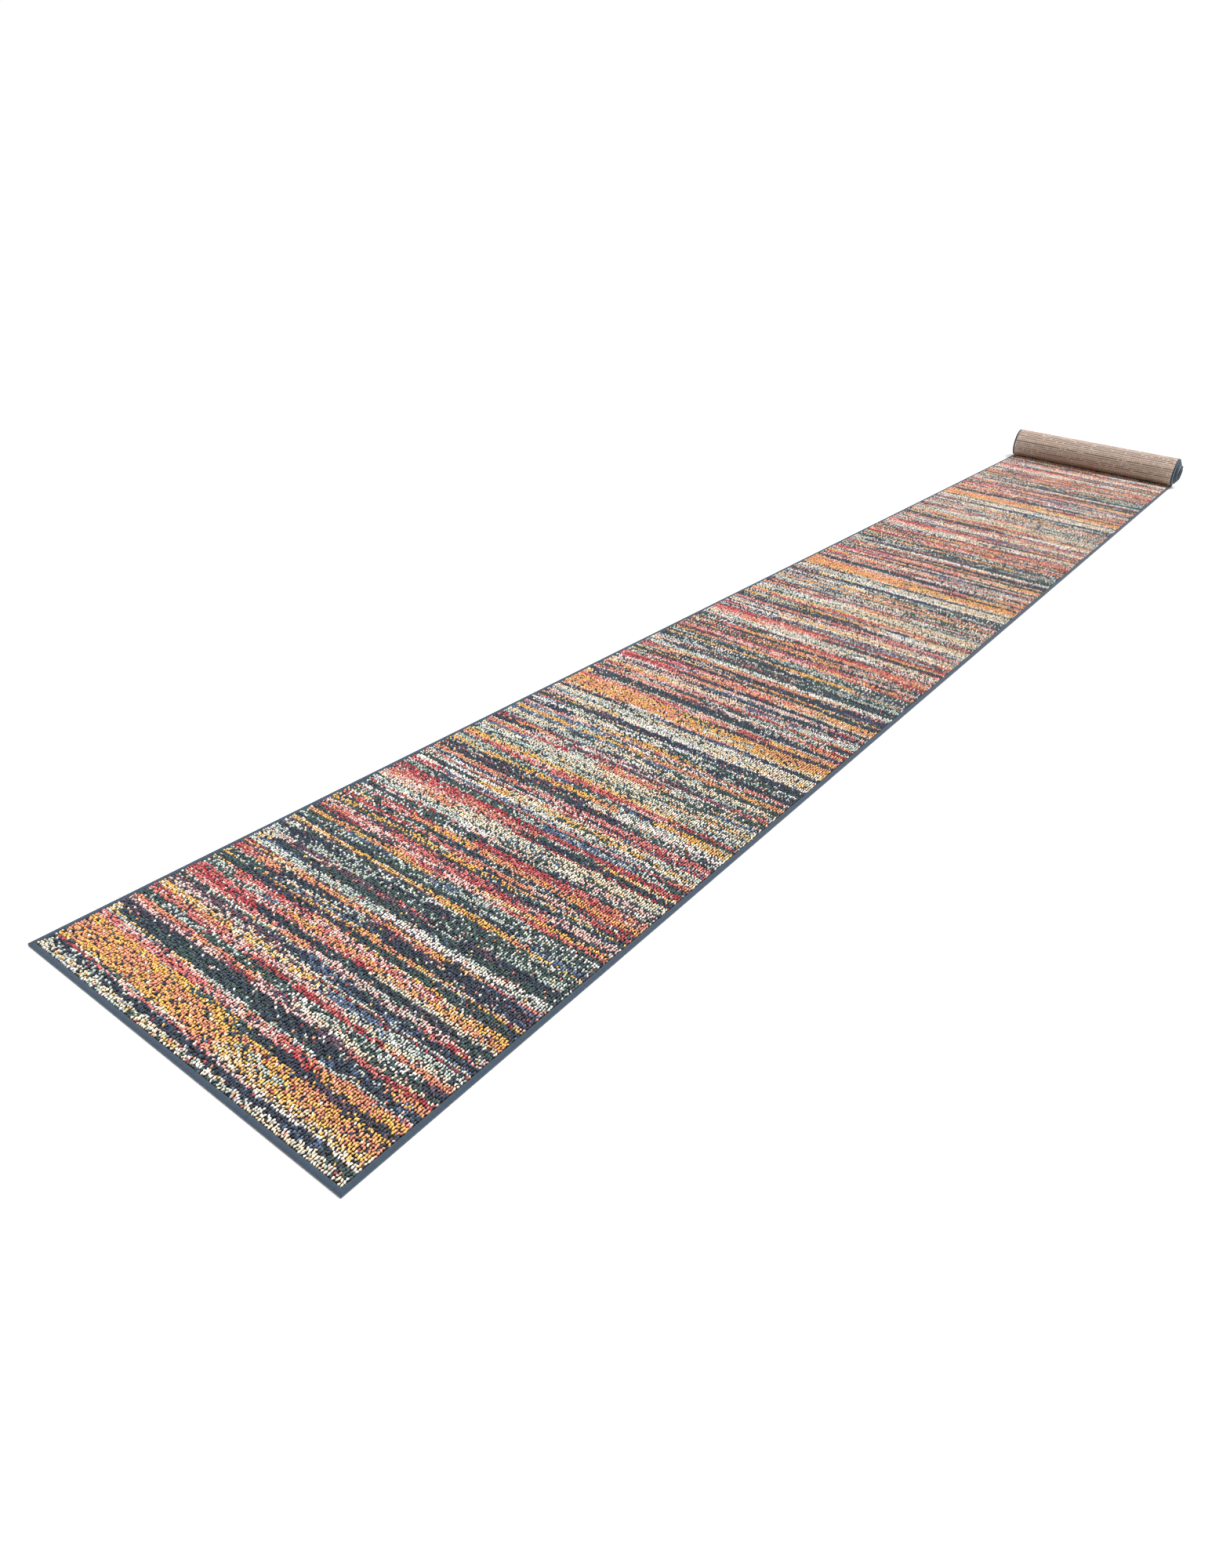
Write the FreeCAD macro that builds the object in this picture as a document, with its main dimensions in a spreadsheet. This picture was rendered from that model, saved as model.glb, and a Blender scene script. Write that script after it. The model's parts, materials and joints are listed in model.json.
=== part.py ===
import FreeCAD, Part
import math
import os
import Sketcher

# A runner rug: pile cloth with an overlocked binding round its edge. Most of it is laid
# flat, and its far end is rolled up on top of itself with the pile inwards.
# Frame: +X from the front edge towards the roll, +Y to the rug's left edge, +Z up,
# with the origin on the floor in the middle of the footprint.
#
# The roll is a two-centre spiral: each half turn is an arc, and the next one is smaller
# by half the pitch between turns. The outer turn is cut into flat strips that are hinged
# to each other at the underside, so that it unrolls. The turns inside it stay rolled.

SIZES = {
    "rug_width": 800,  # over both side bindings
    "laid_length": 5360,  # from the front edge to the line where the roll stands
    "roll_radius": 70,  # outside of the outer turn
    "core_radius": 25,  # tightest bend of the backing, round the hollow middle
    "backing_thick": 2,
    "pile_height": 7,  # above the backing
    "layer_gap": 1,  # air between two turns of the roll
    "turn_hinges": 12,  # bends in the outer turn, an even number
    "hinge_gap": 0.3,  # between the ends of two strips, at the underside
    "binding_width": 10.5,  # from the rug's edge to the pile
    "binding_height": 7.5,
    "binding_floor": 0.8,  # thread under the backing's edge
    "binding_web": 1.5,  # thread outside the backing's edge
    "binding_round": 2,  # of the binding's outer top edge
}

doc = FreeCAD.newDocument("RunnerRug")
sheet = doc.addObject("Spreadsheet::Sheet", "Sizes")
for row, (alias, number) in enumerate(SIZES.items(), start=1):
    sheet.set(f"A{row}", alias)
    sheet.set(f"B{row}", str(number))
    sheet.setAlias(f"B{row}", alias)
doc.recompute()

# Lengths that several sub-parts share, as expressions on the sheet. Angles are in degrees.
PILE_TOP = "(Sizes.backing_thick + Sizes.pile_height)"
PITCH = f"({PILE_TOP} + Sizes.layer_gap)"
BEND = "(360 / Sizes.turn_hinges)"
MITRE = f"tan({BEND} / 2)"
FRONT_EDGE = "(-(Sizes.laid_length + Sizes.roll_radius) / 2)"
ROLL_LINE = "((Sizes.laid_length - Sizes.roll_radius) / 2)"
PILE_WIDTH = "(Sizes.rug_width - 2 * Sizes.binding_width)"
TONGUE_WIDTH = "(Sizes.rug_width - 2 * Sizes.binding_web)"
TONGUE_IN_BINDING = "(Sizes.binding_width - Sizes.binding_web)"


def value(expression):
    """The number that an expression on the sheet gives."""
    result = sheet.evalExpression(expression)
    return float(getattr(result, "Value", result))


HINGES = round(value("Sizes.turn_hinges"))
HALF_PITCH = value(PITCH) / 2
# Half turns 0 and 1 are the outer turn, and this is the last whole one of the inner roll.
LAST_HALF_TURN = math.floor((value("Sizes.roll_radius - Sizes.core_radius") + 1e-6) / HALF_PITCH)

V_AXIS = -2
ORIGIN = (-1, 1)
START = 1
END = 2
CENTRE = 3


# ---------------------------------------------------------------- sketches


def pin(sketch, kind, geometry, point, expression):
    """Ties one coordinate of a point to the sketch's origin."""
    place = Sketcher.Constraint(kind, *ORIGIN, geometry, point, value(expression))
    name = f"{kind}_{geometry}_{point}"
    sketch.renameConstraint(sketch.addConstraint(place), name)
    sketch.setExpression(f"Constraints.{name}", expression)


def join(sketch, before, after):
    sketch.addConstraint(Sketcher.Constraint("Coincident", *before, *after))


def on_roll_line(sketch, geometry, point):
    sketch.addConstraint(Sketcher.Constraint("PointOnObject", geometry, point, V_AXIS))


def draw_line(sketch, first, last):
    segment = Part.LineSegment(FreeCAD.Vector(*first, 0), FreeCAD.Vector(*last, 0))
    return sketch.addGeometry(segment, False)


def side_sketch(body, name):
    """A sketch on the body's own XZ plane: the cloth seen from its side."""
    sketch = body.newObject("Sketcher::SketchObject", f"{body.Name}_{name}")
    plane = next(item for item in body.Origin.OriginFeatures if item.Role == "XZ_Plane")
    sketch.AttachmentSupport = (plane, "")
    sketch.MapMode = "FlatFace"
    return sketch


def draw_outline(sketch, corners):
    """A closed outline of straight lines, each corner given as two expressions."""
    points = [(value(x), value(z)) for x, z in corners]
    lines = [draw_line(sketch, a, b) for a, b in zip(points, points[1:] + points[:1])]
    for number, (x, z) in enumerate(corners):
        join(sketch, (lines[number - 1], END), (lines[number], START))
        pin(sketch, "DistanceX", lines[number], START, x)
        pin(sketch, "DistanceY", lines[number], START, z)


def half_turn(number):
    """Centre height and radius of a half turn's underside, as expressions."""
    height = "Sizes.roll_radius" if number % 2 == 0 else f"(Sizes.roll_radius + {PITCH} / 2)"
    return height, f"(Sizes.roll_radius - {number} * {PITCH} / 2)"


def draw_turn(sketch, number, offset, before, sweep=None):
    """One half turn at a depth under the cloth, or the first sweep degrees of it."""
    height, radius = half_turn(number)
    begin = -90 if number % 2 == 0 else 90
    turned = 180 if sweep is None else value(sweep)
    centre = FreeCAD.Vector(0, value(height), 0)
    circle = Part.Circle(centre, FreeCAD.Vector(0, 0, 1), value(f"{radius} - {offset}"))
    ends = (math.radians(begin), math.radians(begin + turned))
    arc = sketch.addGeometry(Part.ArcOfCircle(circle, *ends), False)
    on_roll_line(sketch, arc, CENTRE)
    if before is None:
        on_roll_line(sketch, arc, START)
        side = "-" if begin < 0 else "+"
        pin(sketch, "DistanceY", arc, START, f"{height} {side} ({radius} - {offset})")
    else:
        join(sketch, (before, END), (arc, START))
    size = Sketcher.Constraint("Radius", arc, circle.Radius)
    name = f"Radius_{arc}"
    sketch.renameConstraint(sketch.addConstraint(size), name)
    sketch.setExpression(f"Constraints.{name}", f"{radius} - {offset}")
    if sweep is None:
        on_roll_line(sketch, arc, END)
    else:
        side = "" if begin < 0 else "-"
        pin(sketch, "DistanceX", arc, END, f"{side}({radius} - {offset}) * sin({sweep})")
    return arc


def tail_sweep(length):
    """Degrees of the half turn after the last that a length of the cloth covers."""
    radius = half_turn(LAST_HALF_TURN + 1)[1]
    return f"({length} / {radius} * 180 / pi)"


def draw_rolled_side(sketch, offset, tail):
    """The cloth's run through the inner roll at one depth, from its mitred start."""
    start_x = (
        f"-(Sizes.roll_radius - {PITCH} / 2) * {MITRE} + Sizes.hinge_gap / 2"
        f" + ({offset}) * {MITRE}"
    )
    height = f"({PITCH} + {offset})"
    flat = draw_line(sketch, (value(start_x), value(height)), (0, value(height)))
    pin(sketch, "DistanceX", flat, START, start_x)
    pin(sketch, "DistanceY", flat, START, height)
    sketch.addConstraint(Sketcher.Constraint("Horizontal", flat))
    on_roll_line(sketch, flat, END)
    last = flat
    for number in range(2, LAST_HALF_TURN + 1):
        last = draw_turn(sketch, number, offset, last)
    if tail:
        last = draw_turn(sketch, LAST_HALF_TURN + 1, offset, last, tail_sweep(tail))
    return flat, last


def end_point(sketch, geometry, point):
    place = sketch.getPoint(geometry, point)
    return place.x, place.y


def close_band(sketch, low, high):
    """Joins the two sides of a band at both ends; low and high are (first, last) curves."""
    for side, point in ((0, START), (1, END)):
        ends = (low[side], point), (high[side], point)
        line = draw_line(sketch, end_point(sketch, *ends[0]), end_point(sketch, *ends[1]))
        join(sketch, ends[0], (line, START))
        join(sketch, ends[1], (line, END))


def draw_rolled_band(sketch, low, high, tail=None):
    """A layer of the inner roll between two depths, with the tail it has past the last turn."""
    sides = [draw_rolled_side(sketch, depth, tail) for depth in (low, high)]
    close_band(sketch, *sides)


def draw_end_band(sketch, low, high, length):
    """The same between two depths, of the rolled end's last stretch alone."""
    arcs = []
    for depth in (low, high):
        arcs.append(draw_turn(sketch, LAST_HALF_TURN + 1, depth, None, tail_sweep(length)))
    close_band(sketch, (arcs[0], arcs[0]), (arcs[1], arcs[1]))


# ---------------------------------------------------------------- features


def new_body(label, x, z, y="0", turned="0"):
    """A body at a place, turned about the Y axis so that +X goes up."""
    body = doc.addObject("PartDesign::Body", label)
    body.Label = label
    body.AllowCompound = True
    place = f"create(<<vector>>; {x}; {y}; {z})"
    turn = f"create(<<rotation>>; create(<<vector>>; 0; -1; 0); {turned})"
    body.setExpression("Placement", f"create(<<placement>>; {place}; {turn})")
    return body


def add_feature(body, kind, sketch, length, side):
    """A pad or pocket. side is both, left (+Y) or right (-Y) of the sketch."""
    feature = body.newObject(f"PartDesign::{kind}", f"{sketch.Name}_{kind}")
    feature.Profile = sketch
    feature.setExpression("Length", length)
    if side == "both":
        feature.SideType = "Symmetric"
    else:
        # A pad leaves its sketch towards -Y and a pocket goes in towards +Y.
        away = "left" if kind == "Pad" else "right"
        feature.Reversed = side == away
    sketch.Visibility = False
    doc.recompute()
    body.Tip = feature
    return feature


def round_outer_edges(body, length):
    """Rounds the long top edges of a binding on the side away from the pile."""
    base = body.Tip
    top = value("Sizes.binding_height")
    outer = value(length)
    names = []
    for number, edge in enumerate(base.Shape.Edges, start=1):
        ends = [vertex.Point for vertex in edge.Vertexes]
        if all(abs(p.z - top) < 1e-4 and abs(abs(p.y) - outer) < 1e-4 for p in ends):
            names.append(f"Edge{number}")
    fillet = body.newObject("PartDesign::Fillet", f"{body.Name}_round")
    fillet.Base = (base, names)
    fillet.setExpression("Radius", "Sizes.binding_round")
    body.Tip = fillet


# ---------------------------------------------------------------- the laid length

LAID_END = f"Sizes.laid_length + Sizes.roll_radius * {MITRE} - Sizes.hinge_gap / 2"


def laid_corners(start, low, high):
    """A layer from a distance behind the front edge to the first hinge."""
    return [
        (start, low),
        (f"{LAID_END} - ({low}) * {MITRE}", low),
        (f"{LAID_END} - ({high}) * {MITRE}", high),
        (start, high),
    ]


def make_laid_backing():
    body = new_body("laid_backing", FRONT_EDGE, "0")
    cloth = side_sketch(body, "cloth")
    draw_outline(cloth, laid_corners("Sizes.binding_width", "0", "Sizes.backing_thick"))
    add_feature(body, "Pad", cloth, PILE_WIDTH, "both")
    tongue = side_sketch(body, "tongue")
    corners = laid_corners("Sizes.binding_web", "Sizes.binding_floor", "Sizes.backing_thick")
    draw_outline(tongue, corners)
    add_feature(body, "Pad", tongue, TONGUE_WIDTH, "both")


def make_laid_pile():
    body = new_body("laid_pile", FRONT_EDGE, "0")
    pile = side_sketch(body, "pile")
    draw_outline(pile, laid_corners("Sizes.binding_width", "Sizes.backing_thick", PILE_TOP))
    add_feature(body, "Pad", pile, PILE_WIDTH, "both")


def make_laid_binding(side):
    sign = "" if side == "left" else "-"
    body = new_body(f"laid_binding_{side}", FRONT_EDGE, "0", f"{sign}{PILE_WIDTH} / 2")
    edge = side_sketch(body, "edge")
    draw_outline(edge, laid_corners("0", "0", "Sizes.binding_height"))
    add_feature(body, "Pad", edge, "Sizes.binding_width", side)
    slot = side_sketch(body, "slot")
    corners = laid_corners("Sizes.binding_web", "Sizes.binding_floor", "Sizes.backing_thick")
    draw_outline(slot, corners)
    add_feature(body, "Pocket", slot, TONGUE_IN_BINDING, side)
    round_outer_edges(body, "Sizes.binding_width")


def make_front_binding():
    """It lies between the side bindings and holds the backing's front edge."""
    body = new_body("front_end_binding", FRONT_EDGE, "0")
    edge = side_sketch(body, "edge")
    depth = "Sizes.binding_width"
    top = "Sizes.binding_height"
    draw_outline(edge, [("0", "0"), (depth, "0"), (depth, top), ("0", top)])
    add_feature(body, "Pad", edge, PILE_WIDTH, "both")
    slot = side_sketch(body, "slot")
    web = "Sizes.binding_web"
    low = "Sizes.binding_floor"
    high = "Sizes.backing_thick"
    draw_outline(slot, [(web, low), (depth, low), (depth, high), (web, high)])
    add_feature(body, "Pocket", slot, PILE_WIDTH, "both")


# ---------------------------------------------------------------- the strips of the outer turn


def hinge_turn(hinge):
    """Which half turn of the roll a hinge from 1 to HINGES belongs to."""
    return 0 if hinge <= HINGES // 2 else 1


def hinge_place(hinge):
    """Where two strips' undersides meet: the corner of flats round the half turn's arc."""
    height, radius = half_turn(hinge_turn(hinge))
    angle = f"(({hinge} - 0.5) * {BEND})"
    reach = f"{radius} / cos({BEND} / 2)"
    return f"{ROLL_LINE} + {reach} * sin({angle})", f"{height} - {reach} * cos({angle})"


def strip_corners(strip, low, high):
    """A strip runs from the hinge of its own number to the next, mitred at both ends."""
    radii = [half_turn(hinge_turn(hinge))[1] for hinge in (strip, strip + 1)]
    length = f"({radii[0]} + {radii[1]}) * {MITRE}"
    trim = "Sizes.hinge_gap / 2"
    near = [f"{trim} + ({depth}) * {MITRE}" for depth in (low, high)]
    far = [f"{length} - {trim} - ({depth}) * {MITRE}" for depth in (low, high)]
    return [(near[0], low), (far[0], low), (far[1], high), (near[1], high)]


def new_strip_body(strip, what):
    x, z = hinge_place(strip)
    return new_body(f"turn_strip_{strip:02d}_{what}", x, z, turned=f"{strip} * {BEND}")


def make_strip(strip):
    floor_corners = strip_corners(strip, "Sizes.binding_floor", "Sizes.backing_thick")

    backing = new_strip_body(strip, "backing")
    cloth = side_sketch(backing, "cloth")
    draw_outline(cloth, strip_corners(strip, "0", "Sizes.backing_thick"))
    add_feature(backing, "Pad", cloth, PILE_WIDTH, "both")
    tongue = side_sketch(backing, "tongue")
    draw_outline(tongue, floor_corners)
    add_feature(backing, "Pad", tongue, TONGUE_WIDTH, "both")

    pile = new_strip_body(strip, "pile")
    side = side_sketch(pile, "pile")
    draw_outline(side, strip_corners(strip, "Sizes.backing_thick", PILE_TOP))
    add_feature(pile, "Pad", side, PILE_WIDTH, "both")

    bindings = new_strip_body(strip, "bindings")
    for name, kind, low, high, width in (
        ("edge", "Pad", "0", "Sizes.binding_height", "Sizes.rug_width"),
        ("inside", "Pocket", "0", "Sizes.binding_height", PILE_WIDTH),
        ("slot", "Pocket", "Sizes.binding_floor", "Sizes.backing_thick", TONGUE_WIDTH),
    ):
        sketch = side_sketch(bindings, name)
        draw_outline(sketch, strip_corners(strip, low, high))
        add_feature(bindings, kind, sketch, width, "both")
    round_outer_edges(bindings, "Sizes.rug_width / 2")


# ---------------------------------------------------------------- the inner roll


def make_inner_backing():
    body = new_body("inner_roll_backing", ROLL_LINE, "0")
    cloth = side_sketch(body, "cloth")
    draw_rolled_band(cloth, "0", "Sizes.backing_thick")
    add_feature(body, "Pad", cloth, PILE_WIDTH, "both")
    tongue = side_sketch(body, "tongue")
    draw_rolled_band(tongue, "Sizes.binding_floor", "Sizes.backing_thick", TONGUE_IN_BINDING)
    add_feature(body, "Pad", tongue, TONGUE_WIDTH, "both")


def make_inner_pile():
    body = new_body("inner_roll_pile", ROLL_LINE, "0")
    pile = side_sketch(body, "pile")
    draw_rolled_band(pile, "Sizes.backing_thick", PILE_TOP)
    add_feature(body, "Pad", pile, PILE_WIDTH, "both")


def make_inner_binding(side):
    sign = "" if side == "left" else "-"
    body = new_body(f"inner_roll_binding_{side}", ROLL_LINE, "0", f"{sign}{PILE_WIDTH} / 2")
    edge = side_sketch(body, "edge")
    draw_rolled_band(edge, "0", "Sizes.binding_height", "Sizes.binding_width")
    add_feature(body, "Pad", edge, "Sizes.binding_width", side)
    slot = side_sketch(body, "slot")
    draw_rolled_band(slot, "Sizes.binding_floor", "Sizes.backing_thick", TONGUE_IN_BINDING)
    add_feature(body, "Pocket", slot, TONGUE_IN_BINDING, side)


def make_inner_end_binding():
    """The binding of the rug's rolled-up end, between the side bindings."""
    body = new_body("inner_roll_end_binding", ROLL_LINE, "0")
    edge = side_sketch(body, "edge")
    draw_end_band(edge, "0", "Sizes.binding_height", "Sizes.binding_width")
    add_feature(body, "Pad", edge, PILE_WIDTH, "both")
    slot = side_sketch(body, "slot")
    draw_end_band(slot, "Sizes.binding_floor", "Sizes.backing_thick", TONGUE_IN_BINDING)
    add_feature(body, "Pocket", slot, PILE_WIDTH, "both")


# ---------------------------------------------------------------- build, check and write

make_laid_backing()
make_laid_pile()
for edge_side in ("left", "right"):
    make_laid_binding(edge_side)
    make_inner_binding(edge_side)
make_front_binding()
for strip_number in range(1, HINGES):
    make_strip(strip_number)
make_inner_backing()
make_inner_pile()
make_inner_end_binding()
doc.recompute()

for item in doc.Objects:
    if "Invalid" in item.State or "Error" in item.State:
        raise RuntimeError(f"{item.Label} failed: {item.State}")
    if item.isDerivedFrom("Sketcher::SketchObject") and item.solve() != 0:
        raise RuntimeError(f"{item.Label} doesn't solve")

bodies = [item for item in doc.Objects if item.isDerivedFrom("PartDesign::Body")]
for item in bodies:
    expected = 2 if item.Label.endswith("_bindings") else 1
    if item.Shape.isNull() or not item.Shape.isValid() or len(item.Shape.Solids) != expected:
        raise RuntimeError(f"{item.Label} has no sound solid")

os.makedirs("parts", exist_ok=True)
for item in bodies:
    item.Shape.exportStep(f"parts/{item.Label}.step")
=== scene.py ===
import json
import math

import bpy
import numpy as np
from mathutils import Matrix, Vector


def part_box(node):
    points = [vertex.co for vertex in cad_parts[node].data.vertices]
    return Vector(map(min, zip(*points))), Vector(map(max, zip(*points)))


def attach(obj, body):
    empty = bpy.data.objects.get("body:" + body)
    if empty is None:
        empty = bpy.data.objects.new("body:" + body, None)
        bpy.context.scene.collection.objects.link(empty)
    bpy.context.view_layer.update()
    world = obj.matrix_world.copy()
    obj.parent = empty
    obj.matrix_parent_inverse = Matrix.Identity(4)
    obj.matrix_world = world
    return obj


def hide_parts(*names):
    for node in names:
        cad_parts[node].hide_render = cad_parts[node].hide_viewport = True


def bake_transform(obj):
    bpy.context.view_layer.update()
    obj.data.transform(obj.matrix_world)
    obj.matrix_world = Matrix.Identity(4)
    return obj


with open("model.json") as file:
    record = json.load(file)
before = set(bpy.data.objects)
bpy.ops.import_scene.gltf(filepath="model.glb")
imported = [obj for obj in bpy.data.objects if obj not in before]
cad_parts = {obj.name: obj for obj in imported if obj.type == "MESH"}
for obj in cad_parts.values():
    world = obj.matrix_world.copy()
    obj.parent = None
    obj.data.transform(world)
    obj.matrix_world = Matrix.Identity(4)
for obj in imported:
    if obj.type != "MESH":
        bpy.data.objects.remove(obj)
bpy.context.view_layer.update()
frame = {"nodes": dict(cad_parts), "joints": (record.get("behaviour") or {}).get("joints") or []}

# ---------------------------------------------------------------------------
# Sizes, in metres, read from the frame
# ---------------------------------------------------------------------------

hinges = frame["joints"]
sector = 2 * math.pi / len(hinges)
roll_radius = hinges[len(hinges) // 2 - 1]["pos_m"][2] / 2
turn_pitch = hinges[-1]["pos_m"][2]
roll_line = hinges[0]["pos_m"][0] - roll_radius * math.tan(sector / 2)

pile_low, pile_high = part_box("laid_pile")
front_low, front_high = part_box("front_end_binding")
edge_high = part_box("laid_binding_left")[1]
tail_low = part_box("inner_roll_end_binding")[0]

front_x = front_low.x
half_width = edge_high.y
edge_width = front_high.x - front_low.x
edge_height = edge_high.z
cloth_thick = pile_low.z
pile_top = pile_high.z
pile_half = pile_high.y
laid_run = roll_line - front_x
half_turns = round(tail_low.z / (turn_pitch / 2))

edge_lap = 0.85 * edge_width
tail_tuck = 0.6 * edge_width
yarn_pitch = 0.0055
stitch_pitch = 0.0024
row_pitch = 0.010
knot_pitch = 0.011
seed = 7

# How far the turns slip sideways: each turn, more in the later turns, and back and forth.
slip_each_turn = 0.0025
late_slip_each_turn = 0.0075
late_slip_from = 0.85
wander_reach = 0.0022
wander_rate = 5.1
wander_from = 0.8
most_turns = 4

# The binding: points round its section, how square the section is, and its thread.
section_points = 10
section_squareness = 0.6
groove_swell = 0.88
# Painted shade: the share of the thread's colour left in the grooves between stitches.
painted_groove_shade = 0.62
thread_unevenness = 0.07

# A tuft: its root's height, its waist, its sides, and how much one differs from the next.
tuft_kinds = 6
tuft_sides = 5
tuft_root = 0.0012
tuft_tip = 0.0003
waist_share = 0.68
waist_along = 1.35
waist_across = 0.84
waist_spread = 0.0007
angle_spread = 0.25
reach_spread = 0.12
tip_spread_along = 0.0009
tip_spread_across = 0.0006
# The rise given to the waist, from 0 at the root to 1 at the tip, which sets how much painted shade the
# pile's material puts there.
rise_at_waist = 0.62

# Planting: how far a tuft leans, its smallest and largest size, and how far it strays from its row.
tuft_lean = (0.10, 0.16, 0.35)
smallest_tuft = (0.92, 0.90, 0.90)
largest_tuft = (1.18, 1.10, 1.08)
stray_along = 0.0007
stray_across = 0.0004
most_stray = 1.5
tuft_margin = 0.001

# How finely each part is cut.
laid_step_along = 0.010
laid_step_across = 0.040
pile_lanes = 9
end_columns = 8
outer_knuckle = 0.00035
inner_knuckle = 0.0003


# ---------------------------------------------------------------------------
# The cloth's path: laid flat, then rolled up on itself in half turns
# ---------------------------------------------------------------------------


def half_turn(number):
    """Height of a half turn's centre, and the radius of the cloth's underside on it."""
    centre = roll_radius + (turn_pitch / 2 if number % 2 else 0)
    return centre, roll_radius - number * turn_pitch / 2


turn_starts = [laid_run]
for number in range(half_turns + 1):
    turn_starts.append(turn_starts[-1] + math.pi * half_turn(number)[1])


def sideways(along):
    """How far the roll's turns have slipped out towards its right end."""
    turns = (np.asarray(along, float) - laid_run) / (2 * math.pi * roll_radius)
    turns = np.clip(turns, 0, most_turns)
    wander = wander_reach * np.sin(wander_rate * turns) * np.clip(turns - wander_from, 0, 1)
    late_turns = np.clip(turns - late_slip_from, 0, most_turns)
    return -slip_each_turn * turns - late_slip_each_turn * late_turns - wander


def on_cloth(along, across, height):
    """Points at a distance along the cloth from its front edge, across it, and up from its underside,
    with the angle the cloth has turned through there."""
    along, across, height = np.broadcast_arrays(
        np.asarray(along, float), np.asarray(across, float), np.asarray(height, float)
    )
    x = front_x + along
    z = height.copy()
    turned = np.zeros_like(x)
    for number in range(half_turns + 1):
        centre, radius = half_turn(number)
        here = along >= turn_starts[number]
        angle = (along - turn_starts[number]) / radius + (math.pi if number % 2 else 0)
        x = np.where(here, roll_line + (radius - height) * np.sin(angle), x)
        z = np.where(here, centre - (radius - height) * np.cos(angle), z)
        turned = np.where(here, angle, turned)
    y = across + sideways(along)
    return np.stack([x, y, z], axis=-1), turned


def along_at_angle(angle):
    """Distance along the cloth where the outer turn has turned through an angle."""
    first = min(angle, math.pi) * half_turn(0)[1]
    second = max(angle - math.pi, 0) * half_turn(1)[1]
    return laid_run + first + second


# ---------------------------------------------------------------------------
# Yarn colours
# ---------------------------------------------------------------------------


def linear(red, green, blue):
    """A display colour from 0 to 255 as the linear one that a shader takes."""
    parts = np.array([red, green, blue]) / 255
    return np.where(parts <= 0.04045, parts / 12.92, ((parts + 0.055) / 1.055) ** 2.4)


yarns = {
    "n": linear(46, 58, 76),
    "g": linear(62, 86, 84),
    "s": linear(184, 194, 184),
    "c": linear(234, 212, 184),
    "w": linear(246, 238, 232),
    "m": linear(232, 176, 92),
    "o": linear(226, 150, 114),
    "r": linear(214, 118, 112),
    "k": linear(172, 62, 70),
    "p": linear(234, 190, 182),
    "v": linear(98, 76, 92),
    "b": linear(90, 110, 142),
}

# The colourways of a band: slate, sage, cream, gold, rose and plum.
# Each pair is a main yarn and the one flecked into it.
colourways = [
    ["gn", "ng", "nb", "nv", "ns"],
    ["gs", "sg", "gw", "bs", "sn"],
    ["cs", "cm", "wc", "sw", "cg"],
    ["mo", "mc", "om", "mg", "ms"],
    ["rp", "kr", "pr", "rk", "or"],
    ["vp", "vr", "pv", "kv", "ps"],
]
pairs_in_a_colourway = 5

# The stretches of one repeat: length in millimetres, then how often each colourway comes up there.
stretches = [
    (27, 1, 2, 6, 0, 0, 0),
    (15, 8, 1, 0, 0, 0, 1),
    (12, 0, 0, 4, 0, 3, 0),
    (150, 2, 1, 3, 6, 6, 1),
    (240, 4, 3, 3, 5, 4, 2),
    (150, 4, 6, 3, 2, 1, 1),
    (330, 4, 4, 2, 2, 5, 2),
    (170, 3, 4, 3, 4, 2, 1),
    (322, 3, 7, 5, 2, 2, 1),
]
most_rows = 3
fewer_rows = 1.25
runs_across = 10
new_colourway_share = 0.14
new_pair_share = 0.42

# How bands waver and jog along the cloth, and how a tuft strays from its band.
waver_reach = 0.0035
waver_size = (0.30, 0.20)
jog_reach = 0.002
jog_size = (0.02, 0.07)
band_stray = 0.0006

# How the runs across the cloth shift from band to band.
band_step = 1.7
run_shift = 0.14
run_stray = 0.012

# Where the flecked yarn shows: streaks, patches, every other column, and chance.
streak_share = 0.42
streak_size = (0.009, 0.060)
patch_share = 0.22
patch_size = (0.010, 0.011)
column_share = 0.16
chance_share = 0.30
fleck_above = 0.63

# Odd tufts, navy tufts, and how unevenly the dye takes.
odd_tufts_below = 0.09
navy_tufts_above = 0.94
dye_spread = 0.19
palest_dye = 1.5
darkest_dye = 0.5
brightest = 0.95

# The back of the cloth: its knots, the faded trace of the bands, and the pale knots, which are painted
# highlights.
knot_brown = linear(84, 66, 58)
faded_ground = linear(200, 178, 162)
painted_knot_highlight = linear(222, 202, 190)
least_brown = 0.26
brown_by_row = 0.52
brown_by_knot = 0.15
band_trace = 0.55
painted_knot_highlights_above = 0.88
painted_knot_highlight_share = 0.6
knot_start = 0.25
noise_cells = 256
noise_start = 40


def grain(along, across, size_along, size_across, seed):
    """Smooth value noise from 0 to 1 with cells of one size along the cloth and another across it."""
    table = np.random.RandomState(seed).rand(noise_cells, noise_cells)
    u = np.asarray(along) / size_along + noise_start
    v = np.asarray(across) / size_across + noise_start
    column = np.floor(u).astype(int)
    row = np.floor(v).astype(int)
    fu = u - column
    fv = v - row
    fu = fu * fu * (3 - 2 * fu)
    fv = fv * fv * (3 - 2 * fv)
    here, after = column % noise_cells, (column + 1) % noise_cells
    near, far = row % noise_cells, (row + 1) % noise_cells
    low = table[here, near] * (1 - fu) + table[after, near] * fu
    high = table[here, far] * (1 - fu)
    high = high + table[after, far] * fu
    return low * (1 - fv) + high * fv


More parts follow.
